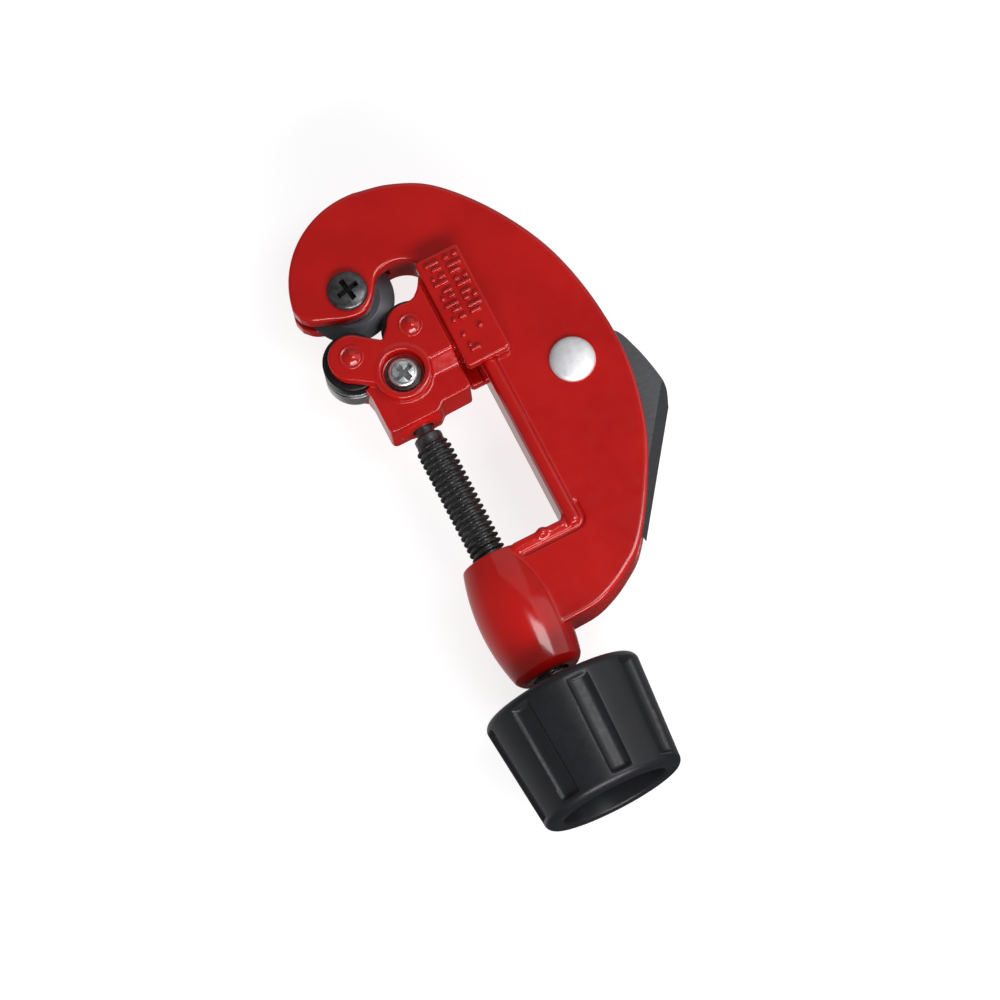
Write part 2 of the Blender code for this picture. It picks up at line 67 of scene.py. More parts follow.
# Frame casting
FRAME_HALF = 6.3                # half of its thickness
EDGE_ROUND = 0.8
JAW_CENTRE = (7.5, 54.4)
JAW_RADIUS = 21.6
RAIL_X = 17.4                   # the window's side, where the slide runs
ARM_TOP = -11.5                 # the window's lower end
CORNER_RADIUS = 1.6
BACK_CURVE = [(9.8, 75.9), (18.0, 74.0), (26.4, 69.4), (35.0, 59.4), (41.9, 46.6), (45.5, 33.0),
              (46.6, 18.0), (45.2, 7.0), (41.8, -4.0), (35.3, -16.0), (29.4, -24.0),
              (24.5, -27.7), (20.0, -30.1), (15.0, -31.7), (8.0, -32.1)]
JAW_CURVE = [(RAIL_X, 48.0), (16.9, 51.8), (14.2, 56.0), (10.2, 57.5), (6.2, 56.4), (3.2, 52.4),
             (0.4, 50.2), (-3.6, 50.3), (-8.0, 52.0), (-11.2, 53.3), (-13.3, 55.3)]
BEAD_X = (17.7, 20.8)
BEAD_Y = (-14.0, 52.6)
BEAD_HEIGHT = 1.1
GROOVE_DEPTH = 0.55             # of the thin groove that runs round the window's corner
AXLE_HOLE = 2.3
BARREL_TOP = -11.2
BARREL_LENGTH = 28.6
BARREL_RADIUS = 9.5
BARREL_WAIST = 15.0             # distance from its top to its widest place
BARREL_BULGE = 0.0111
BARREL_MOUTH = 5.6
SCREW_BORE = 4.15
WHEEL_RADIUS = 9.9
WHEEL_SLOT_HALF = 1.8
WHEEL_ROOM = 1.0                # space round the wheel in its slot
REAMER_SLOT_HALF = 1.8
REAMER_SLOT = [(28.2, -40.0), (28.2, 30.0), (31.0, 34.5), (38.0, 37.0), (60.0, 44.0), (60.0, -40.0)]

# Slide: two cheeks that hold the roller pins, a block on the feed screw, two ears over the rail
CHEEK_IN = 6.1
CHEEK_OUT = 9.2
LOBE_LEFT = 5.2
LOBE_RIGHT = 5.3
NOTCH = (0.3, 41.8)
BOSS = (1.2, 33.3)
BOSS_RADIUS = 6.3
BOSS_OUT = 9.4
RECESS_RADIUS = 4.8             # the hole in the boss where the retaining screw sits
RECESS_FLOOR = 6.4
STEP_Y = 33.0                   # the cheek steps down to the block below this
SLOPE_FOOT = 30.2
EAR_X = (14.1, 24.6)
EAR_Y = (27.3, 53.9)
EAR_OUT = 9.8
EAR_IN = 6.6
MARK_LENGTH = 3.5
MARK_HEIGHT = 0.75
MARK_HALF = 0.42                # half of a mark's width
MARK_PITCH = 1.45
MARK_ROWS = 9
MARK_LEFT = (15.6, 20.1)        # where each column of marks starts
GAP_WIDTH = 0.9                 # the slit between the front cheek and its ear
GAP_DEPTH = 1.3
LINK_X = 13.9                   # the bar that joins the ears, beside the rail
LINK_Y = (33.4, 48.0)
BLOCK_LEFT = -7.2
BLOCK_RIGHT = 13.2
BLOCK_BOTTOM = 22.6
WEB_TOP = 38.4
COLLAR_RADIUS = 5.4
COLLAR_BOTTOM = 21.9
FEED_BORE = 2.4
PIN_BORE = 1.75
POCKET_RADIUS = 7.0             # room for a roller between the cheeks

# Roller pins, whose ends are formed into a dome inside a low ring
PIN_RADIUS = 1.6
PIN_HEAD_RADIUS = 2.8
PIN_HEAD_HEIGHT = 1.05
PIN_DOME_RADIUS = 1.95
PIN_DOME_BASE = 0.1

# Rollers
ROLLER_RADIUS = 6.6
ROLLER_HALF = 5.8
ROLLER_BORE = 1.9
ROLLER_GROOVE = (2.6, 1.3)      # front groove, from one height to the other
ROLLER_ROOT = 5.4
WHEEL_GROOVE_HALF = 0.6         # middle groove, where the wheel's edge goes
WHEEL_GROOVE_DEPTH = 0.9

# Rivet of the reamer
RIVET_RADIUS = 3.0
RIVET_HEAD = 5.1

# Knob
KNOB_TOP = -43.5
KNOB_END = -70.0
KNOB_TOP_RADIUS = 18.2
KNOB_END_RADIUS = 16.3
KNOB_ROUND = 1.8
MOUTH_ROUND = 0.8
KNOB_FLOOR = -54.5              # bottom of the hollow in its free end
HOLLOW_RADIUS = 12.2
FLUTE_COUNT = 8
FLUTE_FIRST = 10.0              # degrees from the front
FLUTE_WIDTH = 5.0
FLUTE_DEPTH = 1.3
FLUTE_Y = (-68.0, -45.6)
FLUTE_END = 0.7                 # length over which a flute rises at each end

# Feed screw
THREAD_RADIUS = 3.95
THREAD_ROOT = 3.15
THREAD_PITCH = 1.41
THREAD_TOP = 18.4
THREAD_END = -42.6

# Reamer blade
BLADE_HALF = 1.0
BLADE_TIP = (31.6, -22.9)
BLADE_CORNER = (49.8, 1.8)      # where the ground edge meets the back

# Mesh and texture detail
VOXEL = 0.2
KEPT_FACES = 0.2
WELD_DISTANCE = 0.0005
TURNING_PITCH = 0.12


# ---------------------------------------------------------------- outlines

def arc(centre, radius, start, end, count):
    """Points on a circle from one angle to another, in degrees, ends included."""
    angles = [math.radians(start + (end - start) * i / count) for i in range(count + 1)]
    return [(centre[0] + radius * math.cos(a), centre[1] + radius * math.sin(a)) for a in angles]


def smooth(points, per_span=8):
    """A smooth curve through all the points, ends included."""
    ends = [2 * Vector(points[0]) - Vector(points[1]), 2 * Vector(points[-1]) - Vector(points[-2])]
    line = [ends[0], *[Vector(p) for p in points], ends[1]]
    curve = []
    for before, start, end, after in zip(line, line[1:], line[2:], line[3:]):
        for i in range(per_span):
            t = i / per_span
            point = 2 * start + (end - before) * t
            point += (2 * before - 5 * start + 4 * end - after) * t ** 2
            point += (3 * start - 3 * end + after - before) * t ** 3
            curve.append(tuple(point / 2))
    return [*curve, tuple(points[-1])]


def rounded_box(x_range, y_range, radius, count=6):
    """A rectangle's outline with rounded corners."""
    (left, right), (low, high) = x_range, y_range
    corners = [(right - radius, high - radius), (left + radius, high - radius),
               (left + radius, low + radius), (right - radius, low + radius)]
    outline = []
    for i, corner in enumerate(corners):
        outline += arc(corner, radius, 90 * i, 90 * i + 90, count)
    return outline


def filleted(points, count=5, closed=True):
    """An outline whose corners, each (x, y, radius), are rounded."""
    outline = []
    size = len(points)
    for i, (x, y, radius) in enumerate(points):
        if radius == 0 or (not closed and i in (0, size - 1)):
            outline.append((x, y))
            continue
        here = Vector((x, y))
        to_last = (Vector(points[i - 1][:2]) - here).normalized()
        to_next = (Vector(points[(i + 1) % size][:2]) - here).normalized()
        half = to_last.angle(to_next) / 2
        reach = radius / math.tan(half)
        start = here + to_last * reach
        end = here + to_next * reach
        centre = here + (to_last + to_next).normalized() * radius / math.sin(half)
        for step in range(count + 1):
            spoke = (start - centre).lerp(end - centre, step / count).normalized()
            outline.append(tuple(centre + spoke * radius))
    return outline


def frame_outline():
    """The casting's flat shape: jaw, back, arm, and the window with the throat above it."""
    jaw_top = arc(JAW_CENTRE, JAW_RADIUS, 172, 87, 30)
    back = smooth(BACK_CURVE)
    corner = arc((RAIL_X - CORNER_RADIUS, ARM_TOP + CORNER_RADIUS), CORNER_RADIUS, 270, 360, 6)
    return [*jaw_top, *back, (0, BACK_CURVE[-1][1]), (0, ARM_TOP), *corner, *smooth(JAW_CURVE)]


def cheek_outline():
    """One cheek: a lobe round each roller pin, a boss below, and the edge beside the rail."""
    left_lobe = arc(PIN_LEFT, LOBE_LEFT, 45, 238, 30)
    boss = arc(BOSS, BOSS_RADIUS - 0.2, 180, 357, 30)
    right_edge = [(EAR_X[0] + 0.4, STEP_Y), (EAR_X[0] + 0.4, 52.0)]
    sweep = smooth([(13.6, 51.0), (12.4, 48.9), (10.7, 47.3)])
    right_lobe = arc(PIN_RIGHT, LOBE_RIGHT, 72, 158, 16)
    return [NOTCH, *left_lobe, *boss, *right_edge, *sweep, *right_lobe]


def web_outline():
    """The middle of the slide: block below the rollers, with a bar beside the rail."""
    right = RAIL_X - 0.3
    corners = [(BLOCK_LEFT, BLOCK_BOTTOM, 1.2), (4.6, BLOCK_BOTTOM, 0.6), (6.2, 24.0, 0.6),
               (BLOCK_RIGHT, 24.2, 0.8), (BLOCK_RIGHT, LINK_Y[0], 0), (right, LINK_Y[0], 0.5),
               (right, LINK_Y[1], 0.5), (LINK_X, LINK_Y[1], 0), (LINK_X, WEB_TOP, 0),
               (-6.0, WEB_TOP, 0), (-8.0, 35.4, 1.0), (BLOCK_LEFT, 32.0, 1.0)]
    return filleted(corners)


# ---------------------------------------------------------------- mesh making

def new_piece(name, mesh):
    """Puts a new object with the given mesh or curve into the scene."""
    item = bpy.data.objects.new(name, mesh)
    bpy.context.scene.collection.objects.link(item)
    return item


def settle(item):
    """Applies an object's modifiers, and turns a curve into a mesh."""
    evaluated = item.evaluated_get(bpy.context.evaluated_depsgraph_get())
    mesh = bpy.data.meshes.new_from_object(evaluated)
    name = item.name
    bpy.data.objects.remove(item)
    mesh.name = name
    return new_piece(name, mesh)


def mesh_piece(name, shape):
    """Makes a piece from a bmesh, with its faces turned outwards, and frees the bmesh."""
    bmesh.ops.recalc_face_normals(shape, faces=shape.faces)
    mesh = bpy.data.meshes.new(name)
    shape.to_mesh(mesh)
    shape.free()
    return new_piece(name, mesh)


def to_world(mesh):
    """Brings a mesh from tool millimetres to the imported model's metres."""
    mesh.transform(Matrix.Translation(ORIGIN) @ Matrix.Scale(MM, 4))


def plate(name, outline, low, high, edge=0.0, steps=3):
    """A flat piece between two heights, in tool millimetres, with rounded edges."""
    curve = bpy.data.curves.new(name, "CURVE")
    curve.dimensions = "2D"
    curve.fill_mode = "BOTH"
    curve.extrude = (high - low) / 2 - edge
    if edge:
        curve.bevel_depth = edge
        curve.bevel_resolution = steps
        curve.offset = -edge
    spline = curve.splines.new("POLY")
    spline.points.add(len(outline) - 1)
    for point, (x, y) in zip(spline.points, [p[:2] for p in outline]):
        point.co = (x, y, 0, 1)
    spline.use_cyclic_u = True
    item = settle(new_piece(name, curve))
    item.data.transform(Matrix.Translation((0, 0, (low + high) / 2)))
    weld(item.data)
    return item


def weld(mesh):
    """Joins points that lie on each other and turns the faces outwards."""
    shape = bmesh.new()
    shape.from_mesh(mesh)
    bmesh.ops.remove_doubles(shape, verts=shape.verts, dist=WELD_DISTANCE)
    bmesh.ops.recalc_face_normals(shape, faces=shape.faces)
    shape.to_mesh(mesh)
    shape.free()


def lathe(name, profile, centre=(0, 0), along_y=False, ring=False, steps=96):
    """A turned piece in tool millimetres, from (radius, height) pairs down its outer side."""
    shape = bmesh.new()
    rings = []
    for radius, height in profile:
        count = 1 if radius < 1e-6 else steps
        row = []
        for i in range(count):
            angle = 2 * math.pi * i / steps
            x, y = radius * math.cos(angle), radius * math.sin(angle)
            point = (x, height, -y) if along_y else (centre[0] + x, centre[1] + y, height)
            row.append(shape.verts.new(point))
        rings.append(row)
    pairs = list(zip(rings, rings[1:]))
    if ring:
        pairs.append((rings[-1], rings[0]))
    for upper, lower in pairs:
        for i in range(steps):
            j = (i + 1) % steps
            corners = [upper[i % len(upper)], lower[i % len(lower)],
                       lower[j % len(lower)], upper[j % len(upper)]]
            corners = list(dict.fromkeys(corners))
            if len(corners) > 2:
                shape.faces.new(corners)
    return mesh_piece(name, shape)


def turned(name, corners, **options):
    """A turned piece whose profile's corners, each (radius, height, fillet), are rounded."""
    closed = options.get("ring", False)
    return lathe(name, filleted(corners, 4, closed), **options)


def ball(name, centre, radii):
    """A ball stretched to three radii, to be joined to a casting."""
    shape = bmesh.new()
    bmesh.ops.create_uvsphere(shape, u_segments=40, v_segments=24, radius=1,
                              matrix=Matrix.Translation(centre) @ Matrix.Diagonal((*radii, 1)))
    return mesh_piece(name, shape)


def wedge(name, side_outline, left, right):
    """A bar along x whose end, seen along x, has the given (y, z) outline."""
    shape = bmesh.new()
    ends = [[shape.verts.new((x, y, z)) for y, z in side_outline] for x in (left, right)]
    shape.faces.new(ends[0])
    shape.faces.new(ends[1])
    for i, near in enumerate(ends[0]):
        j = (i + 1) % len(side_outline)
        shape.faces.new((near, ends[0][j], ends[1][j], ends[1][i]))
    return mesh_piece(name, shape)


def prism(name, corners):
    """A solid between two matching ends of the same corner count."""
    half = len(corners) // 2
    shape = bmesh.new()
    verts = [shape.verts.new(c) for c in corners]
    shape.faces.new(verts[:half])
    shape.faces.new(verts[half:])
    for i in range(half):
        j = (i + 1) % half
        shape.faces.new((verts[i], verts[j], verts[half + j], verts[half + i]))
    return mesh_piece(name, shape)


def combine(base, adds, cuts):
    """Joins and cuts solids, and gives the result as one mesh."""
    for others, operation in ((adds, "UNION"), (cuts, "DIFFERENCE")):
        for other in others:
            modifier = base.modifiers.new(other.name, "BOOLEAN")
            modifier.operation = operation
            modifier.solver = "MANIFOLD"
            modifier.object = other
    base = settle(base)
    for other in [*adds, *cuts]:
        bpy.data.objects.remove(other)
    return base


def cast(piece, soften):
    """Gives a sharp solid the soft edges and fillets of a casting under paint.

    The more rounds of softening, the wider its fillets.
    """
    remesh = piece.modifiers.new("Cast", "REMESH")
    remesh.mode = "VOXEL"
    remesh.voxel_size = VOXEL
    relax = piece.modifiers.new("Relax", "SMOOTH")
    relax.factor = 0.5
    relax.iterations = soften
    thin = piece.modifiers.new("Thin", "DECIMATE")
    thin.ratio = KEPT_FACES
    return settle(piece)


def finish_piece(piece, body, nodes, material, sharp=35.0):
    """Places a piece in the model, shades it, and says what it rides on and stands for.

    Edges that turn by more than sharp, in degrees, stay crisp.
    """
    to_world(piece.data)
    piece.data.materials.clear()
    piece.data.materials.append(material)
    piece.data.shade_smooth()
    piece.data.set_sharp_from_angle(angle=math.radians(sharp))
    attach(piece, body)
    if nodes:
        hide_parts(*nodes)


# ---------------------------------------------------------------- materials

class Recipe:
    """A node material: a Principled shader, and the textures that drive it."""

    def __init__(self, name, metallic=0.0):
        self.material = bpy.data.materials.new(name)
        self.material.use_nodes = True
        self.nodes = self.material.node_tree.nodes
        self.links = self.material.node_tree.links
        self.shader = self.nodes["Principled BSDF"]
        self.shader.inputs["Metallic"].default_value = metallic
        self.place = self.nodes.new("ShaderNodeTexCoord").outputs["Object"]
        self.height = None

    def noise(self, size_mm, detail, place=None):
        """Noise whose features are about size_mm across."""
        texture = self.nodes.new("ShaderNodeTexNoise")
        texture.inputs["Scale"].default_value = 1 / (size_mm * MM)
        texture.inputs["Detail"].default_value = detail
        self.links.new(place or self.place, texture.inputs["Vector"])
        return texture.outputs["Fac"]

    def ramp(self, value, low, high, out_low, out_high):
        """Runs from out_low to out_high while value runs from low to high, and stays there."""
        node = self.nodes.new("ShaderNodeMapRange")
        for key, number in (("From Min", low), ("From Max", high), ("To Min", out_low),
                            ("To Max", out_high)):
            node.inputs[key].default_value = number
        self.links.new(value, node.inputs["Value"])
        return node.outputs["Result"]

    def math(self, operation, first, second=0.0):
        """One sum on sockets or numbers."""
        node = self.nodes.new("ShaderNodeMath")
        node.operation = operation
        for socket, value in zip(node.inputs, (first, second)):
            if isinstance(value, (int, float)):
                socket.default_value = value
            else:
                self.links.new(value, socket)
        return node.outputs[0]

    def colours(self, value, first, second):
        """Base colour that runs between two colours as value goes from 0 to 1."""
        mix = self.nodes.new("ShaderNodeMix")
        mix.data_type = "RGBA"
        mix.inputs["A"].default_value = (*first, 1)
        mix.inputs["B"].default_value = (*second, 1)
        self.links.new(value, mix.inputs["Factor"])
        self.links.new(mix.outputs["Result"], self.shader.inputs["Base Color"])

    def mottled(self, value, first, second):
        """Base colour that runs between two colours across the middle of a noise."""
        self.colours(self.ramp(value, 0.3, 0.7, 0, 1), first, second)

    def rough(self, value, low, high):
        """Roughness that runs between two values across the middle of a noise."""
        self.links.new(self.ramp(value, 0.3, 0.7, low, high), self.shader.inputs["Roughness"])

    def bump(self, value, strength, distance_mm):
        """Adds a bump on top of those already there."""
        node = self.nodes.new("ShaderNodeBump")
        node.inputs["Strength"].default_value = strength
        node.inputs["Distance"].default_value = distance_mm * MM
        self.links.new(value, node.inputs["Height"])
        if self.height:
            self.links.new(self.height, node.inputs["Normal"])
        self.height = node.outputs["Normal"]
        self.links.new(self.height, self.shader.inputs["Normal"])

    def round_axis(self, centre):
        """Distance in metres from an axis along z, for turning marks."""
        offset = self.nodes.new("ShaderNodeVectorMath")
        offset.operation = "SUBTRACT"
        offset.inputs[1].default_value = ORIGIN + Vector(centre) * MM
        self.links.new(self.place, offset.inputs[0])
        flat = self.nodes.new("ShaderNodeVectorMath")
        flat.operation = "MULTIPLY"
        flat.inputs[1].default_value = (1, 1, 0)
        self.links.new(offset.outputs[0], flat.inputs[0])
        length = self.nodes.new("ShaderNodeVectorMath")
        length.operation = "LENGTH"
        self.links.new(flat.outputs[0], length.inputs[0])
        return length.outputs["Value"]

    def height_above_floor(self):
        """A point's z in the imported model, in metres."""
        split = self.nodes.new("ShaderNodeSeparateXYZ")
        self.links.new(self.place, split.inputs[0])
        return split.outputs["Z"]

    def turning(self, centre, on_side=False):
        """Fine uneven rings, as a lathe leaves them, on the ends or on the side too."""
        source = self.round_axis(centre)
        texture = self.nodes.new("ShaderNodeTexNoise")
        texture.noise_dimensions = "1D"
        texture.inputs["Detail"].default_value = 2.0
        if on_side:
            source = self.math("ADD", source, self.height_above_floor())
        pitch = self.math("MULTIPLY", source, 1 / (TURNING_PITCH * MM))
        self.links.new(pitch, texture.inputs["W"])
        texture.inputs["Scale"].default_value = 1.0
        return texture.outputs["Fac"]


def red_paint():
    """Thick glossy enamel: slight orange peel, and a colour that thins a little in places."""
    paint = Recipe("red_enamel")
    paint.colours(paint.ramp(paint.noise(14, 3), 0.35, 0.65, 0, 1),
                  (0.40, 0.0042, 0.0033), (0.465, 0.0062, 0.0042))
    paint.rough(paint.noise(2.5, 3), 0.12, 0.2)
    paint.shader.inputs["Coat Weight"].default_value = 0.25
    paint.shader.inputs["Coat Roughness"].default_value = 0.06
    paint.bump(paint.noise(1.6, 2), 0.06, 0.25)
    paint.bump(paint.noise(0.35, 2), 0.025, 0.1)
    return paint.material


def shaded(colour, factor):
    """A colour made darker or lighter."""
    return tuple(c * factor for c in colour)


def steel(name, centre, colour, roughness):
    """Bare steel with the rings that turning or grinding round an axis leaves."""
    metal = Recipe(name, 1.0)
    rings = metal.turning(centre)
    metal.mottled(rings, shaded(colour, 0.75), shaded(colour, 1.25))
    metal.rough(metal.noise(1.5, 3), roughness - 0.05, roughness + 0.07)
    metal.bump(rings, 0.15, 0.02)
    return metal.material


def roller_steel(name, centre):
    """Turned steel with painted shade, near black, on its front part and in the middle groove."""
    metal = Recipe(name, 0.9)
    rings = metal.turning(centre, on_side=True)
    height = metal.height_above_floor()
    seam = ORIGIN.z + ROLLER_GROOVE[1] * MM
    front = metal.ramp(height, seam - 0.1 * MM, seam + 0.1 * MM, 0, 1)
    off_middle = metal.math("ABSOLUTE", metal.math("SUBTRACT", height, ORIGIN.z))
    groove = WHEEL_GROOVE_HALF * MM
    middle = metal.ramp(off_middle, groove - 0.05 * MM, groove + 0.05 * MM, 1, 0)
    # Painted shade: the front part and the middle groove get the near-black colour below.
    painted_shade_mask = metal.math("MAXIMUM", front, middle)
    blend = metal.math("SUBTRACT", painted_shade_mask, metal.ramp(rings, 0.3, 0.7, 0, 0.06))
    metal.colours(blend, (0.66, 0.66, 0.67), (0.022, 0.022, 0.024))
    metal.rough(metal.noise(1.5, 3), 0.24, 0.36)
    metal.bump(rings, 0.15, 0.02)
    return metal.material


def black_oxide(name, shade=1.0):
    """Blackened steel with a fine, slightly rough skin; a lower shade is darker."""
    metal = Recipe(name, 0.8)
    metal.mottled(metal.noise(1.2, 4), shaded((0.055, 0.055, 0.058), shade),
                  shaded((0.13, 0.13, 0.135), shade))
    metal.rough(metal.noise(0.7, 3), 0.26, 0.4)
    metal.bump(metal.noise(0.25, 3), 0.12, 0.05)
    return metal.material


def blade_steel(name, colour):
    """Grey oxide with faint grinding lines across the blade."""
    metal = Recipe(name, 0.4)
    stretch = metal.nodes.new("ShaderNodeMapping")
    stretch.inputs["Scale"].default_value = (1, 12, 1)
    stretch.inputs["Rotation"].default_value = (0, 0, math.radians(36))
    metal.links.new(metal.place, stretch.inputs["Vector"])
    lines = metal.noise(2.0, 3, stretch.outputs["Vector"])
    metal.mottled(lines, shaded(colour, 0.8), shaded(colour, 1.2))
    metal.rough(metal.noise(1.0, 3), 0.36, 0.5)
    metal.bump(lines, 0.1, 0.03)
    return metal.material


def aluminium():
    """Pressed rivet head: pale, with soft blotches and fine specks."""
    metal = Recipe("rivet_aluminium", 0.7)
    metal.mottled(metal.noise(1.4, 5), (0.74, 0.74, 0.77), (0.92, 0.92, 0.94))
    metal.rough(metal.noise(1.1, 4), 0.45, 0.6)
    metal.bump(metal.noise(0.4, 4), 0.12, 0.03)
    return metal.material


def zinc(name="bright_zinc", shade=1.0):
    """Bright plating with a little clouding; a lower shade is darker."""
    metal = Recipe(name, 0.85)
    metal.mottled(metal.noise(1.0, 3), shaded((0.62, 0.63, 0.65), shade),
                  shaded((0.86, 0.87, 0.89), shade))
    metal.rough(metal.noise(0.6, 3), 0.24, 0.36)
    metal.bump(metal.noise(0.5, 3), 0.12, 0.04)
    return metal.material


def black_plastic():
    """Moulded nylon: nearly black, satin, with a fine spark-eroded grain."""
    plastic = Recipe("knob_plastic")
    plastic.shader.inputs["Specular IOR Level"].default_value = 0.4
    plastic.mottled(plastic.noise(6, 3), (0.009, 0.0095, 0.0115), (0.012, 0.0125, 0.0155))
    plastic.rough(plastic.noise(1.2, 4), 0.32, 0.42)
    plastic.bump(plastic.noise(0.22, 2), 0.05, 0.04)
    plastic.bump(plastic.noise(3.0, 2), 0.03, 0.15)
    return plastic.material


# ---------------------------------------------------------------- frame

def barrel_profile():
    """The barrel's (radius, height) outline, bulging like a cask, from its top down."""
    side = []
    for i in range(26):
        distance = (BARREL_LENGTH - 1.6) * i / 25
        radius = BARREL_RADIUS - BARREL_BULGE * (distance - BARREL_WAIST) ** 2
        side.append((radius, BARREL_TOP - distance))
    bottom = BARREL_TOP - BARREL_LENGTH
    return [(0, BARREL_TOP), *side, (7.2, bottom + 0.7), (6.5, bottom + 0.15),
            (BARREL_MOUTH, bottom), (0, bottom)]


def path_strip(points, half_width):
    """A strip of even width along a path, with round ends."""
    left, right = [], []
    for i, point in enumerate(points):
        ahead = Vector(points[min(i + 1, len(points) - 1)]) - Vector(points[max(i - 1, 0)])
        side = Vector((-ahead.y, ahead.x)).normalized() * half_width
        left.append(tuple(Vector(point) + side))
        right.append(tuple(Vector(point) - side))
    return [*left, *reversed(right)]


def make_frame(paint):
    """The C-shaped casting with its barrel, and with slots for the wheel and the reamer."""
    base = plate("frame_casting_look", frame_outline(), -FRAME_HALF, FRAME_HALF, EDGE_ROUND)
    adds = [lathe("barrel", barrel_profile(), along_y=True)]
    reach = FRAME_HALF + BEAD_HEIGHT
    bead = rounded_box(BEAD_X, BEAD_Y, (BEAD_X[1] - BEAD_X[0]) / 2 - 0.02, 8)
    adds.append(plate("beads", bead, -reach, reach, 1.2, 4))
    rim = rounded_box((4.5, RAIL_X), (-13.5, ARM_TOP + 0.1), 0.9)
    adds.append(plate("arm_rim", rim, -FRAME_HALF - 0.35, FRAME_HALF + 0.35, 0.6))
    for side in (1, -1):
        adds.append(ball(f"pip{side}", (11.9, -12.2, side * 5.9), (1.5, 1.3, 1.7)))
    bore_end = -50
    bore = [(0, 0), (SCREW_BORE, 0), (SCREW_BORE, bore_end), (0, bore_end)]
    cuts = [lathe("bore", bore, along_y=True)]
    slot_arc = arc(WHEEL, WHEEL_RADIUS + WHEEL_ROOM, 155, 0, 40)
    slot = [(-30, slot_arc[0][1]), *slot_arc, (slot_arc[-1][0], 40), (-30, 40)]
    cuts.append(plate("wheel_slot", slot, -WHEEL_SLOT_HALF, WHEEL_SLOT_HALF))
    cuts.append(plate("reamer_slot", REAMER_SLOT, -REAMER_SLOT_HALF, REAMER_SLOT_HALF))
    turn = arc((19.0, -12.2), 2.4, 270, 360, 8)
    groove = path_strip([(6.0, -14.6), (12.0, -14.6), *turn, (21.4, -9.0)], 0.6)
    cuts.append(plate("front_groove", groove, FRAME_HALF - GROOVE_DEPTH, FRAME_HALF + 2))
    cuts.append(plate("rear_groove", groove, -FRAME_HALF - 2, GROOVE_DEPTH - FRAME_HALF))
    hole = [(0, THROUGH), (AXLE_HOLE, THROUGH), (AXLE_HOLE, -THROUGH), (0, -THROUGH)]
    cuts.append(lathe("axle_hole", hole, WHEEL[:2], steps=32))
    frame_piece = cast(combine(base, adds, cuts), 15)
    finish_piece(frame_piece, "frame", ["frame_casting"], paint, 60)


# ---------------------------------------------------------------- slide

def slide_solids():
    """What the slide is joined from: cheeks, ears, links, slopes, boss and collar."""
    adds = []
    for side, label in ((1, "front"), (-1, "rear")):
        heights = sorted((side * (CHEEK_IN - 1.0), side * CHEEK_OUT))
        adds.append(plate("cheek_" + label, cheek_outline(), *heights, 0.5))
        heights = sorted((side * EAR_IN, side * EAR_OUT))
        adds.append(plate("ear_" + label, rounded_box(EAR_X, EAR_Y, 1.0), *heights, 0.5))
        heights = sorted((side * 5.0, side * (EAR_IN + 0.5)))
        link = rounded_box((LINK_X + 0.6, RAIL_X - 0.4), (LINK_Y[0] + 0.2, LINK_Y[1] - 0.2), 0.2)
        adds.append(plate("link_" + label, link, *heights))
        slope = [(STEP_Y + 1.0, side * (CHEEK_OUT - 0.3)), (STEP_Y + 0.1, side * (CHEEK_OUT - 0.3)),
                 (SLOPE_FOOT, side * (CHEEK_IN + 0.2)), (SLOPE_FOOT - 0.2, side * 4.0),
                 (STEP_Y + 1.0, side * 4.0)]
        adds.append(wedge("slope_" + label, slope, 7.0, BLOCK_RIGHT))
    boss = [(0, BOSS_OUT, 0), (BOSS_RADIUS, BOSS_OUT, 0.5), (BOSS_RADIUS, 1.2 - BOSS_OUT, 0.5),
            (0, 1.2 - BOSS_OUT, 0)]
    adds.append(turned("boss", boss, centre=BOSS))
    collar = [(0, 25), (COLLAR_RADIUS, 25), (COLLAR_RADIUS, COLLAR_BOTTOM + 0.8),
              (COLLAR_RADIUS - 0.8, COLLAR_BOTTOM), (0, COLLAR_BOTTOM)]
    adds.append(lathe("collar", collar, along_y=True))
    return adds


def slide_cutters():
    """What is cut from the slide: bores, roller pockets, recess, bead grooves and ear slit."""
    feed_bore = [(0, 36), (FEED_BORE, 36), (FEED_BORE, 10), (0, 10)]
    cuts = [lathe("feed_bore", feed_bore, along_y=True, steps=32)]
    bore = [(0, THROUGH), (PIN_BORE, THROUGH), (PIN_BORE, CHEEK_IN), (POCKET_RADIUS, CHEEK_IN)]
    hole = [*bore, *[(r, -h) for r, h in reversed(bore)]]
    for label, place in (("left", PIN_LEFT), ("right", PIN_RIGHT)):
        cuts.append(lathe("pocket_" + label, hole, place[:2], steps=72))
    recess = [(0, THROUGH), (RECESS_RADIUS + 0.25, THROUGH), (RECESS_RADIUS, BOSS_OUT - 0.5),
              (RECESS_RADIUS, RECESS_FLOOR), (1.3, RECESS_FLOOR), (1.3, 0), (0, 0)]
    cuts.append(lathe("recess", recess, BOSS, steps=72))
    reach = FRAME_HALF + BEAD_HEIGHT + 0.3
    groove = rounded_box((BEAD_X[0] - 0.3, BEAD_X[1] + 0.3), (10, 60), 0.5)
    cuts.append(plate("bead_groove", groove, -reach, reach, 1.0))
    gap = rounded_box((EAR_X[0] - GAP_WIDTH, EAR_X[0]), (STEP_Y - 0.5, EAR_Y[1] + 1), 0.1)
    cuts.append(plate("ear_gap", gap, CHEEK_OUT - GAP_DEPTH, CHEEK_OUT + 1))
    return cuts


def make_slide(paint):
    """The casting that carries the rollers and slides along the window's side."""
    base = plate("slide_casting_look", web_outline(), -CHEEK_IN, CHEEK_IN)
    slide_piece = cast(combine(base, slide_solids(), slide_cutters()), 9)
    finish_piece(slide_piece, "slide", ["slide_casting"], paint, 60)


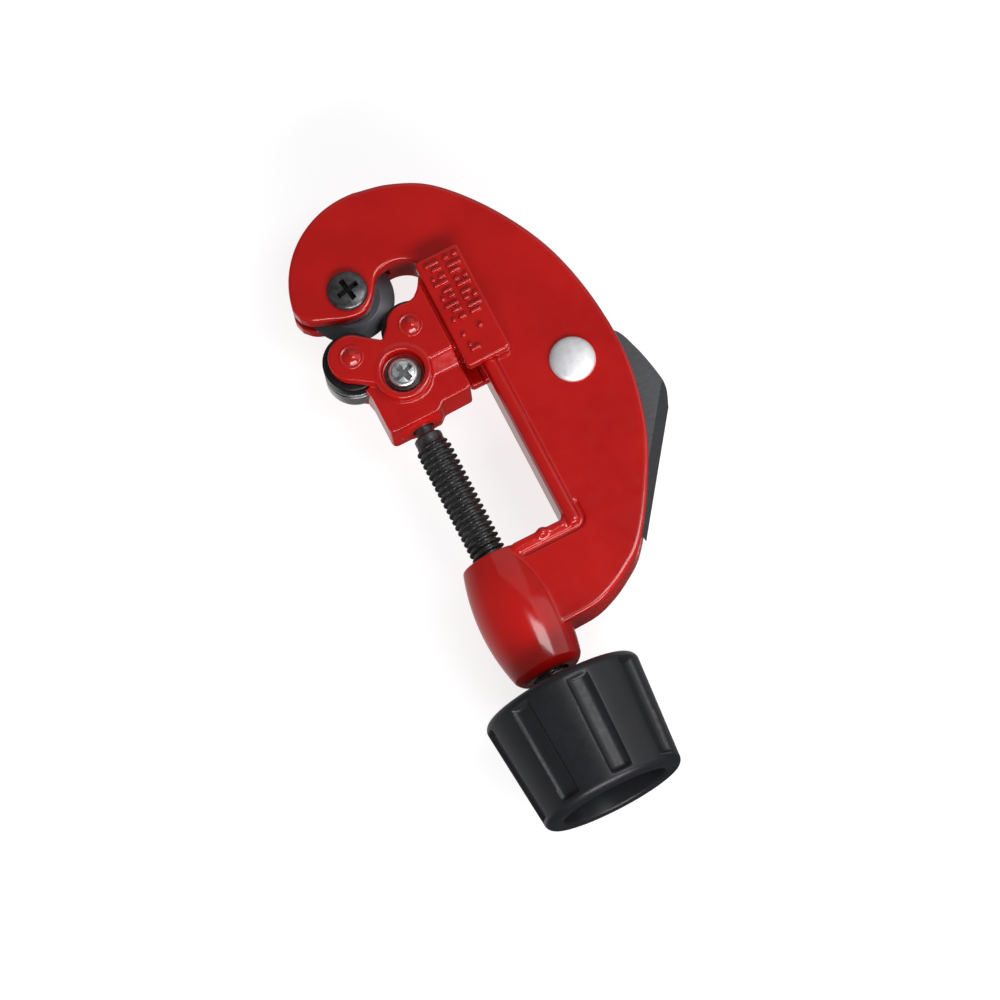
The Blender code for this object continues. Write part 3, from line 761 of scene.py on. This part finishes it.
def make_ear_marks(paint):
    """Two columns of plain raised bars on the front ear, some of them broken or short."""
    # Each pattern gives the parts of a mark's length, from 0 to 1, where its bars start and end.
    patterns = [((0.0, 1.0),), ((0.0, 0.42), (0.62, 1.0)), ((0.3, 1.0),), ((0.0, 1.0),),
                ((0.0, 0.3), (0.5, 1.0)), ((0.0, 0.75),)]
    bars = []
    for column, left in enumerate(MARK_LEFT):
        for row in range(MARK_ROWS):
            y = EAR_Y[1] - 2.2 - MARK_PITCH * row - 0.5 * ((row + column) // 2)
            bars += [(left, y, *span) for span in patterns[(row * 2 + column) % len(patterns)]]
    first, second = MARK_LEFT
    bars += [(first, 34.2, 0.1, 0.4), (second, 34.6, 0.0, 0.35), (first, 30.4, 0.2, 0.9),
             (first, 31.6, 0.2, 0.45)]
    joined = bmesh.new()
    for left, y, start, end in bars:
        span = (left + MARK_LENGTH * start, left + MARK_LENGTH * end)
        outline = rounded_box(span, (y - MARK_HALF, y + MARK_HALF), MARK_HALF - 0.02)
        mark = plate("mark", outline, EAR_OUT - 0.4, EAR_OUT + MARK_HEIGHT, MARK_HALF - 0.06)
        joined.from_mesh(mark.data)
        bpy.data.objects.remove(mark)
    mesh = bpy.data.meshes.new("ear_marks")
    joined.to_mesh(mesh)
    joined.free()
    finish_piece(new_piece("ear_marks", mesh), "slide", [], paint, 60)


# ---------------------------------------------------------------- turned pieces

def make_wheel():
    """Cutting wheel: a flat disc, bevelled from both sides to a thin edge."""
    rim, bevel, bore, half, edge = WHEEL_RADIUS, 6.8, 2.3, 1.5, 0.05
    profile = [(bevel, half, 0.15), (rim, edge, 0), (rim, -edge, 0), (bevel, -half, 0.15),
               (bore, -half, 0.1), (bore, half, 0.1)]
    wheel = turned("cutting_wheel_look", profile, centre=WHEEL[:2], ring=True, steps=160)
    metal = steel("wheel_steel", WHEEL, (0.12, 0.12, 0.132), 0.42)
    finish_piece(wheel, "wheel", ["cutting_wheel"], metal, 25)


def make_roller(side, place):
    """Roller with a square groove near its front and a V in its middle for the wheel's edge."""
    radius, half, root, bore = ROLLER_RADIUS, ROLLER_HALF, ROLLER_ROOT, ROLLER_BORE
    front, rear = ROLLER_GROOVE
    lip = WHEEL_GROOVE_HALF
    profile = [(radius, half, 0.35), (radius, front, 0.15), (root, front, 0.1),
               (root, rear, 0.1), (radius, rear, 0.15), (radius, lip, 0.05),
               (radius - WHEEL_GROOVE_DEPTH, 0, 0), (radius, -lip, 0.05), (radius, -half, 0.35),
               (bore, -half, 0.2), (bore, half, 0.2)]
    roller = turned(f"roller_{side}_look", profile, centre=place[:2], ring=True, steps=128)
    metal = roller_steel(f"roller_{side}_steel", place)
    finish_piece(roller, f"roller_{side}", [f"roller_{side}"], metal, 30)


def make_roller_pin(side, place, paint):
    """Pin through both cheeks, painted over, with a dome in a low ring at each end."""
    seat = CHEEK_OUT - 0.1
    front = [(0, CHEEK_OUT + PIN_HEAD_HEIGHT)]
    for i in range(1, 13):
        fall = 1 - (i / 12) ** 2
        rise = PIN_DOME_BASE + (PIN_HEAD_HEIGHT - PIN_DOME_BASE) * fall
        front.append((PIN_DOME_RADIUS * i / 12, CHEEK_OUT + rise))
    ring = [(2.15, 0.08), (2.35, 0.2), (2.5, 0.24), (2.65, 0.18)]
    front += [(radius, CHEEK_OUT + rise) for radius, rise in ring]
    front += [(PIN_HEAD_RADIUS, seat), (PIN_RADIUS, seat)]
    profile = [*front, *[(r, -h) for r, h in reversed(front)]]
    pin = lathe(f"roller_pin_{side}_look", profile, place[:2], steps=64)
    finish_piece(pin, "slide", [f"roller_pin_{side}"], paint, 50)


def cross_arm(name, centre, top, span, depth, width, turn):
    """One tapered arm of a cross recess, turned by some degrees."""
    spin = Matrix.Translation((*centre, 0)) @ Matrix.Rotation(math.radians(turn), 4, "Z")
    corners = []
    for z, half, thick in ((top + 0.2, span, width), (top - depth, span * 0.7, width * 0.7)):
        for x, y in ((-1, -1), (1, -1), (1, 1), (-1, 1)):
            corners.append(spin @ Vector((x * half, y * thick / 2, z)))
    return prism(name, corners)


def cross_head_screw(name, centre, seat, head_radius, head_height, shank_radius, tip, cross,
                     turn=0.0):
    """Pan-head screw standing along z, with its cross turned by some degrees.

    The head's underside is at height seat and the shank ends at height tip. The cross is given
    as half its span, its depth and the width of its arms.
    """
    dome = [(head_radius * math.sin(math.radians(a)) * 0.98,
             seat + head_height * (0.42 + 0.58 * math.cos(math.radians(a)) ** 0.9))
            for a in range(0, 81, 8)]
    profile = [*dome, (head_radius, seat + head_height * 0.42), (head_radius, seat + 0.12),
               (head_radius - 0.12, seat), (shank_radius, seat), (shank_radius, tip), (0, tip)]
    screw = lathe(name, profile, centre, steps=96)
    top = seat + head_height
    arms = [cross_arm(f"{name}_arm{way}", centre, top, *cross, turn + way) for way in (0, 90)]
    screw = combine(screw, [], arms)
    edge = screw.modifiers.new("Edge", "BEVEL")
    edge.width = 0.06
    edge.segments = 2
    edge.limit_method = "ANGLE"
    edge.angle_limit = math.radians(40)
    return settle(screw)


def make_axle_screw():
    """Black screw that the cutting wheel turns on."""
    screw = cross_head_screw("wheel_axle_screw_look", WHEEL[:2], FRAME_HALF + 0.02, 4.45, 1.9, 2.0,
                             -FRAME_HALF + 0.3, (2.75, 1.6, 1.3), 10)
    finish_piece(screw, "frame", ["wheel_axle_screw"],
                 black_oxide("screw_oxide"), 35)
    # Painted shade: the cross recess gets a far darker copy of the oxide.
    paint_recess_shade(screw, WHEEL, FRAME_HALF + 1.5, black_oxide("screw_recess_painted_shade", 0.12))


def paint_recess_shade(screw, centre, height, material):
    """Painted shade: darker material on the walls and floor of a screw's cross, below a height."""
    widest = 2.7
    screw.data.materials.append(material)
    for face in screw.data.polygons:
        x, y, z = in_tool(face.center)
        if z < height and math.dist((x, y), centre[:2]) < widest:
            face.material_index = 1


def make_retaining_screw():
    """Bright screw deep in the boss, on a dark washer."""
    screw = cross_head_screw("retaining_screw_look", BOSS, RECESS_FLOOR + 0.75, 3.3, 1.5, 1.1,
                             1.6, (2.6, 1.1, 1.6), 20)
    finish_piece(screw, "slide", ["retaining_screw"], zinc(), 35)
    # Painted shade: the cross recess gets a darker copy of the zinc.
    paint_recess_shade(screw, BOSS, RECESS_FLOOR + 1.95, zinc("zinc_recess_painted_shade", 0.4))
    low = RECESS_FLOOR + 0.05
    profile = [(3.9, low + 0.65, 0.15), (3.9, low, 0.1), (1.4, low, 0.1), (1.4, low + 0.65, 0.15)]
    washer = turned("retaining_washer_look", profile, centre=BOSS, ring=True, steps=72)
    finish_piece(washer, "slide", ["retaining_washer"],
                 black_oxide("washer_oxide"), 35)


def make_rivet():
    """The reamer's pivot, with a low dome in front and a smaller closed head behind."""
    seat = FRAME_HALF + 0.02
    dome = []
    for degrees in range(0, 86, 5):
        angle = math.radians(degrees)
        rise = 0.2 + 1.5 * math.cos(angle) ** 0.85
        dome.append((RIVET_HEAD * math.sin(angle), seat + rise))
    profile = [*dome, (RIVET_HEAD, seat + 0.2), (5.05, seat), (RIVET_RADIUS, seat),
               (RIVET_RADIUS, -seat), (4.1, -seat), (4.2, -seat - 0.3), (4.0, -seat - 0.6),
               (2.6, -seat - 1.2), (0, -seat - 1.4)]
    rivet = lathe("reamer_rivet_look", profile, RIVET[:2], steps=128)
    finish_piece(rivet, "frame", ["reamer_rivet"], aluminium(), 50)


# ---------------------------------------------------------------- feed screw, knob, blade

def make_feed_screw():
    """The threaded rod, its ridge wound as a helix round a grid of points.

    Above the thread it has a shoulder, a neck in the slide, and a tail with a groove.
    """
    around, per_turn = 64, 14
    turns = (THREAD_TOP - THREAD_END) / THREAD_PITCH
    rows = int(turns * per_turn)
    shape = bmesh.new()
    rings = []

    def add_ring(radius_at, height):
        """A ring of points whose radius may change with the angle."""
        ring = []
        for i in range(around):
            angle = 2 * math.pi * i / around
            radius = radius_at(angle)
            ring.append(shape.verts.new((radius * math.cos(angle), height,
                                         -radius * math.sin(angle))))
        rings.append(ring)

    plain = [(1.6, 34.9), (2.1, 34.5), (2.1, 34.2), (1.2, 34.15), (1.2, 32.45), (2.1, 32.4),
             (2.1, 20.4), (2.2, 20.2), (2.9, 20.1), (3.2, 19.8), (3.2, 18.9), (3.15, 18.6)]
    for radius, height in plain:
        add_ring(lambda a, r=radius: r, height)
    for row in range(rows + 1):
        height = THREAD_TOP - (THREAD_TOP - THREAD_END) * row / rows
        fade = min(1.0, row / per_turn, (rows - row) / per_turn)

        def thread(angle, height=height, fade=fade):
            """The thread's radius at an angle of this row."""
            phase = (height / THREAD_PITCH - angle / (2 * math.pi)) % 1.0
            ridge = min(1.0, max(0.0, 2.2 * (1 - abs(2 * phase - 1)) - 0.72))
            return THREAD_ROOT + (THREAD_RADIUS - THREAD_ROOT) * ridge * fade

        add_ring(thread, height)
    for radius, height in [(3.2, THREAD_END - 0.2), (3.0, THREAD_END - 0.6), (3.0, KNOB_FLOOR + 1)]:
        add_ring(lambda a, r=radius: r, height)
    for upper, lower in zip(rings, rings[1:]):
        for i in range(around):
            j = (i + 1) % around
            shape.faces.new((upper[i], lower[i], lower[j], upper[j]))
    shape.faces.new(rings[0])
    shape.faces.new(list(reversed(rings[-1])))
    finish_piece(mesh_piece("feed_screw_look", shape), "feed", ["feed_screw"],
                 black_oxide("thread_oxide"), 24)


def make_knob():
    """Tapered knob: a turned ring whose outer side dips into eight round-bottomed flutes."""
    high, low = KNOB_TOP - KNOB_ROUND, KNOB_END + KNOB_ROUND
    top = arc((KNOB_TOP_RADIUS - KNOB_ROUND, high), KNOB_ROUND, 90, 0, 10)
    side = []
    for i in range(1, 60):
        share = i / 60
        side.append((KNOB_TOP_RADIUS + (KNOB_END_RADIUS - KNOB_TOP_RADIUS) * share,
                     high + (low - high) * share))
    end = arc((KNOB_END_RADIUS - KNOB_ROUND, low), KNOB_ROUND, 0, -90, 10)
    lip = KNOB_END + MOUTH_ROUND
    mouth = arc((HOLLOW_RADIUS + MOUTH_ROUND, lip), MOUTH_ROUND, 270, 180, 5)
    inner = [(HOLLOW_RADIUS - 0.6 * t, lip + (KNOB_FLOOR - 1.0 - lip) * t)
             for t in (0.25, 0.5, 0.75, 1.0)]
    floor = [(HOLLOW_RADIUS - 1.0, KNOB_FLOOR - 0.3), (HOLLOW_RADIUS - 1.7, KNOB_FLOOR),
             (3.3, KNOB_FLOOR)]
    hub = [(3.3, KNOB_TOP - 0.6), (4.3, KNOB_TOP - 0.1), (4.9, KNOB_TOP)]
    profile = [*top, *side, *end, *mouth, *inner, *floor, *hub]
    around = 384
    shape = bmesh.new()
    rings = []
    for radius, height in profile:
        ring = []
        outer = radius > HOLLOW_RADIUS + 2.2    # not the mouth, the hollow or the hub
        for i in range(around):
            angle = 2 * math.pi * i / around
            dip = flute_dip(angle, radius, height) if outer else 0.0
            r = radius - dip
            ring.append(shape.verts.new((r * math.sin(angle), height, r * math.cos(angle))))
        rings.append(ring)
    for upper, lower in zip(rings, [*rings[1:], rings[0]]):
        for i in range(around):
            j = (i + 1) % around
            shape.faces.new((upper[i], lower[i], lower[j], upper[j]))
    finish_piece(mesh_piece("knob_look", shape), "feed", ["knob"],
                 black_plastic(), 60)


def flute_dip(angle, radius, height):
    """How deep a flute is at a point of the knob's side."""
    spacing = 2 * math.pi / FLUTE_COUNT
    offset = (angle - math.radians(FLUTE_FIRST) + spacing / 2) % spacing - spacing / 2
    across = abs(offset) * radius / (FLUTE_WIDTH / 2)
    if across > 1:
        return 0.0
    bowl = FLUTE_DEPTH * (1 - across ** 3) ** 0.6
    into = min(height - FLUTE_Y[0], FLUTE_Y[1] - height)
    ends = max(0.0, min(1.0, into / FLUTE_END))
    return bowl * ends * ends * (3 - 2 * ends)


def make_knob_fixings():
    """Screw and washer at the bottom of the hollow, which hold the knob to the feed screw."""
    seat = KNOB_FLOOR - 1.15
    washer = [(5.4, KNOB_FLOOR - 0.05, 0.15), (5.4, seat, 0.15), (1.9, seat, 0.1),
              (1.9, KNOB_FLOOR - 0.05, 0.1)]
    ring = turned("knob_washer_look", washer, along_y=True, ring=True, steps=72)
    metal = zinc()
    finish_piece(ring, "feed", ["knob_washer"], metal, 35)
    screw = cross_head_screw("knob_screw_look", (0, 0), 0, 3.6, 2.2, 1.6, -8.0, (2.2, 1.5, 0.9))
    upright = Matrix.Rotation(math.radians(90), 4, "X")
    screw.data.transform(Matrix.Translation((0, seat - 0.02, 0)) @ upright)
    finish_piece(screw, "feed", ["knob_screw"], metal, 35)


def make_blade():
    """Reamer blade, ground to a bevel along its straight outer edge."""
    back = smooth([(41.0, 24.6), (47.0, 22.8), (49.6, 17.0), (51.2, 9.6), (51.3, 5.8), (49.8, 1.8)])
    heel = arc(RIVET, 6.4, 70, 195, 24)
    outline = [*back[::-1], *heel, BLADE_TIP]
    blade = plate("reamer_blade_look", outline, -BLADE_HALF, BLADE_HALF, 0.12, 1)
    edge = Vector(BLADE_CORNER) - Vector(BLADE_TIP)
    inward = Vector((-edge.y, edge.x)).normalized()
    start = Vector(BLADE_TIP) - edge * 0.2
    end = Vector(BLADE_TIP) + edge * 1.5
    cuts = []
    for side in (1, -1):
        corners = []
        for foot in (start, end):
            for across, height in ((2.4, 1.02), (-3.0, -0.98), (-3.0, 4.0), (2.4, 4.0)):
                point = foot + inward * across
                corners.append((point.x, point.y, side * height))
        cuts.append(prism(f"grind{side}", corners))
    bore = RIVET_RADIUS + 0.3
    hole = [(0, 5), (bore, 5), (bore, -5), (0, -5)]
    cuts.append(lathe("pivot_hole", hole, RIVET[:2], steps=48))
    blade = combine(blade, [], cuts)
    finish_piece(blade, "reamer", ["reamer_blade"],
                 blade_steel("blade_oxide", (0.085, 0.09, 0.098)), 12)
    # Painted shade: the sloped bevel faces get a near-black copy of the blade's steel.
    blade.data.materials.append(blade_steel("blade_bevel_painted_shade", (0.016, 0.017, 0.019)))
    for face in blade.data.polygons:
        sloped = 0.2 < abs(face.normal.z) < 0.995
        if sloped:
            face.material_index = 1


def dress_hidden():
    """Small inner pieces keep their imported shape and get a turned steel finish."""
    for node, centre in (("reamer_washer_front", RIVET), ("reamer_washer_rear", RIVET),
                         ("thrust_disc", (0, 0, 0))):
        item = frame["nodes"][node]
        metal = steel(node + "_steel", centre, (0.5, 0.5, 0.5), 0.3)
        item.data.materials.clear()
        item.data.materials.append(metal)


# ---------------------------------------------------------------- stage

def make_floor():
    """Plain floor that glows a little and, so that the paint stays deep, isn't mirrored."""
    half_size = 1.4
    shape = bmesh.new()
    bmesh.ops.create_grid(shape, x_segments=2, y_segments=2, size=half_size)
    floor = mesh_piece("floor", shape)
    pale = Recipe("floor_pale")
    pale.shader.inputs["Base Color"].default_value = (0.3, 0.3, 0.3, 1)
    pale.rough(pale.noise(30, 2), 0.85, 0.95)
    pale.shader.inputs["Emission Color"].default_value = (1, 1, 1, 1)
    pale.shader.inputs["Emission Strength"].default_value = 0.8
    floor.data.materials.append(pale.material)
    floor.visible_glossy = False


def add_light(name, place, size, power):
    """A soft rectangular light, in metres, that faces the middle of the tool."""
    data = bpy.data.lights.new(name, "AREA")
    data.shape = "RECTANGLE"
    data.size, data.size_y = size
    data.energy = power
    item = bpy.data.objects.new(name, data)
    item.location = place
    towards = Vector((0, 0, 0.018)) - Vector(place)
    item.rotation_euler = towards.to_track_quat("-Z", "Y").to_euler()
    bpy.context.scene.collection.objects.link(item)


def make_light():
    """Four soft lights in a grey room: even above, and below it bright only past the jaw."""
    world = bpy.data.worlds.new("studio")
    bpy.context.scene.world = world
    world.use_nodes = True
    nodes, links = world.node_tree.nodes, world.node_tree.links
    back = nodes["Background"]
    direction = nodes.new("ShaderNodeTexCoord").outputs["Generated"]

    def grade(axis, low, high, dark, bright):
        """A grey that runs from dark to bright along an axis of the sky."""
        along = nodes.new("ShaderNodeVectorMath")
        along.operation = "DOT_PRODUCT"
        along.inputs[1].default_value = axis
        links.new(direction, along.inputs[0])
        node = nodes.new("ShaderNodeMapRange")
        for key, number in (("From Min", low), ("From Max", high), ("To Min", dark),
                            ("To Max", bright)):
            node.inputs[key].default_value = number
        links.new(along.outputs["Value"], node.inputs["Value"])
        return node.outputs["Result"]

    mix = nodes.new("ShaderNodeMix")
    links.new(grade((0, 0, 1), -0.5, 0.1, 0, 1), mix.inputs["Factor"])
    links.new(grade((-0.2, 1, 0), -0.03, 0.19, 0.04, 0.5), mix.inputs["A"])
    links.new(grade((0, 0, 1), 0, 1, 0.2, 0.14), mix.inputs["B"])
    links.new(mix.outputs["Result"], back.inputs["Color"])
    add_light("key", (0.25, -0.09, 0.68), (0.22, 0.34), 1.5)
    add_light("far_side", (0.42, 0.66, 0.6), (0.9, 0.9), 0.8)
    add_light("knob_side", (-0.05, -0.62, 0.47), (0.9, 0.2), 6.4)
    add_light("back_side", (0.66, -0.1, 0.42), (0.6, 0.8), 1.0)


def make_camera():
    """One metre away, raised out of the front face, turned so the tool leans as it should."""
    distance = 1.0
    to_knob, to_left, roll = math.radians(14.0), math.radians(5.0), math.radians(27.7)
    target = ORIGIN + Vector((7.65, 0, 0)) * MM
    away = Vector((-math.sin(to_left) * math.cos(to_knob), -math.sin(to_knob),
                   math.cos(to_left) * math.cos(to_knob)))
    right = (-away).cross(Vector((0, 1, 0))).normalized()
    up = right.cross(-away)
    turned_right = math.cos(roll) * right - math.sin(roll) * up
    turned_up = turned_right.cross(-away)
    data = bpy.data.cameras.new("camera")
    data.lens = 165.6
    data.sensor_width = 36
    camera = bpy.data.objects.new("camera", data)
    rotation = Matrix((turned_right, turned_up, away)).transposed().to_4x4()
    camera.matrix_world = Matrix.Translation(target + away * distance) @ rotation
    bpy.context.scene.collection.objects.link(camera)
    bpy.context.scene.camera = camera


make_camera()
make_light()
make_floor()
enamel = red_paint()
make_frame(enamel)
make_slide(enamel)
make_ear_marks(enamel)
make_wheel()
for side, place in (("left", PIN_LEFT), ("right", PIN_RIGHT)):
    make_roller(side, place)
    make_roller_pin(side, place, enamel)
make_axle_screw()
make_retaining_screw()
make_rivet()
make_feed_screw()
make_knob()
make_knob_fixings()
make_blade()
dress_hidden()
bpy.context.scene.view_settings.view_transform = "Standard"
